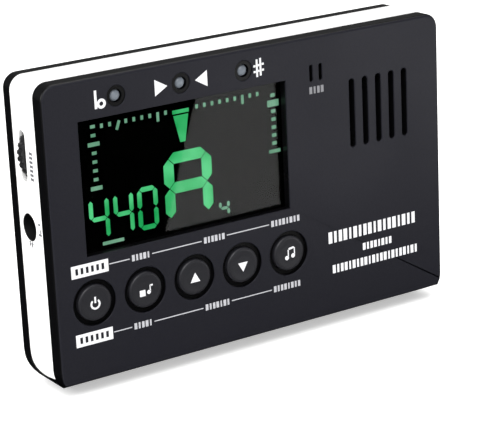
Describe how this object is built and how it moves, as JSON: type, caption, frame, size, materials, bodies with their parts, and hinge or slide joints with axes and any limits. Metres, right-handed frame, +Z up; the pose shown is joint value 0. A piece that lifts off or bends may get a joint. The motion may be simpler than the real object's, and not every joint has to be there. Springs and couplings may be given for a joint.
{
  "type": "handheld instrument tuner and metronome",
  "caption": "Slim upright tuner and metronome with a lit display, round buttons, speaker slots, side jack and volume wheel, and a fold-out rear foot.",
  "frame": {"origin": "on the floor, in the middle of the footprint with the foot folded out", "axes": "+X to the right seen from the front, +Y from the front face to the back, +Z up"},
  "size_m": [0.1108, 0.045, 0.0738],
  "materials": {
    "front_plastic": "satin charcoal ABS",
    "white_plastic": "white ABS, semi-gloss",
    "rear_plastic": "black ABS",
    "window": "smoked acrylic, polished",
    "lcd": "negative liquid crystal glass",
    "backlight": "acrylic light guide",
    "frame_plastic": "white nylon",
    "zebra": "striped silicone",
    "board": "green solder mask on glass-fibre",
    "chip": "moulded epoxy",
    "metal_can": "drawn steel",
    "small_parts": "ceramic and film parts",
    "switch_plastic": "moulded nylon",
    "lamp": "diffused epoxy, unlit",
    "button_plastic": "moulded black ABS",
    "speaker_steel": "zinc-plated steel",
    "cone": "black paper cone",
    "magnet": "nickel-plated magnet and yoke",
    "rubber_black": "soft rubber",
    "jack_plastic": "white nylon",
    "contact": "plated spring strip",
    "pot": "phenolic and carbon track",
    "wheel_plastic": "moulded black acetal",
    "screw_steel": "zinc-plated steel",
    "cell": "plain jacketed can",
    "nickel": "nickel-plated steel"
  },
  "bodies": {
    "housing": {"front_shell": "front_plastic", "side_band": "white_plastic", "rear_shell": "rear_plastic", "display_window": "window", "lcd_glass": "lcd", "backlight": "backlight", "lcd_frame": "frame_plastic", "zebra_strips": "zebra", "main_board": "board", "main_chip": "chip", "crystal": "metal_can", "board_parts": "small_parts", "tact_switches": "switch_plastic", "led_left": "lamp", "led_centre": "lamp", "led_right": "lamp", "speaker_frame": "speaker_steel", "speaker_cone": "cone", "speaker_magnet": "magnet", "mic_capsule": "metal_can", "mic_boot": "rubber_black", "jack_body": "jack_plastic", "jack_springs": "contact", "pot_body": "pot", "cell_upper": "cell", "cell_lower": "cell", "battery_tray": "rear_plastic", "battery_plates": "nickel", "battery_springs": "nickel", "stand_pin": "screw_steel", "case_screws": "screw_steel", "board_screws": "screw_steel"},
    "button_1": {"button_1": "button_plastic"},
    "button_2": {"button_2": "button_plastic"},
    "button_3": {"button_3": "button_plastic"},
    "button_4": {"button_4": "button_plastic"},
    "button_5": {"button_5": "button_plastic"},
    "wheel": {"volume_wheel": "wheel_plastic", "wheel_screw": "screw_steel"},
    "door": {"battery_door": "rear_plastic"},
    "stand": {"stand_leg": "rear_plastic", "stand_pad": "rubber_black"}
  },
  "joints": [
    {"name": "button_1_press", "type": "slide", "parent": "housing", "child": "button_1", "axis": [0, 1, 0], "range_m": [0, 0.00035], "stiffness_N_per_m": 200, "springref_m": -0.0002},
    {"name": "button_2_press", "type": "slide", "parent": "housing", "child": "button_2", "axis": [0, 1, 0], "range_m": [0, 0.00035], "stiffness_N_per_m": 200, "springref_m": -0.0002},
    {"name": "button_3_press", "type": "slide", "parent": "housing", "child": "button_3", "axis": [0, 1, 0], "range_m": [0, 0.00035], "stiffness_N_per_m": 200, "springref_m": -0.0002},
    {"name": "button_4_press", "type": "slide", "parent": "housing", "child": "button_4", "axis": [0, 1, 0], "range_m": [0, 0.00035], "stiffness_N_per_m": 200, "springref_m": -0.0002},
    {"name": "button_5_press", "type": "slide", "parent": "housing", "child": "button_5", "axis": [0, 1, 0], "range_m": [0, 0.00035], "stiffness_N_per_m": 200, "springref_m": -0.0002},
    {"name": "wheel_turn", "type": "hinge", "parent": "housing", "child": "wheel", "pos_m": [-0.0478, -0.01116, 0.0561], "axis": [0, 1, 0], "range_deg": [-135, 135]},
    {"name": "door_swing", "type": "hinge", "parent": "housing", "child": "door", "pos_m": [0.028, -0.00456, 0.0124], "axis": [-1, 0, 0], "range_deg": [0, 80]},
    {"name": "stand_fold", "type": "hinge", "parent": "housing", "child": "stand", "pos_m": [-0.011, -0.00496, 0.0132], "axis": [1, 0, 0], "range_deg": [0, 114.5]}
  ]
}
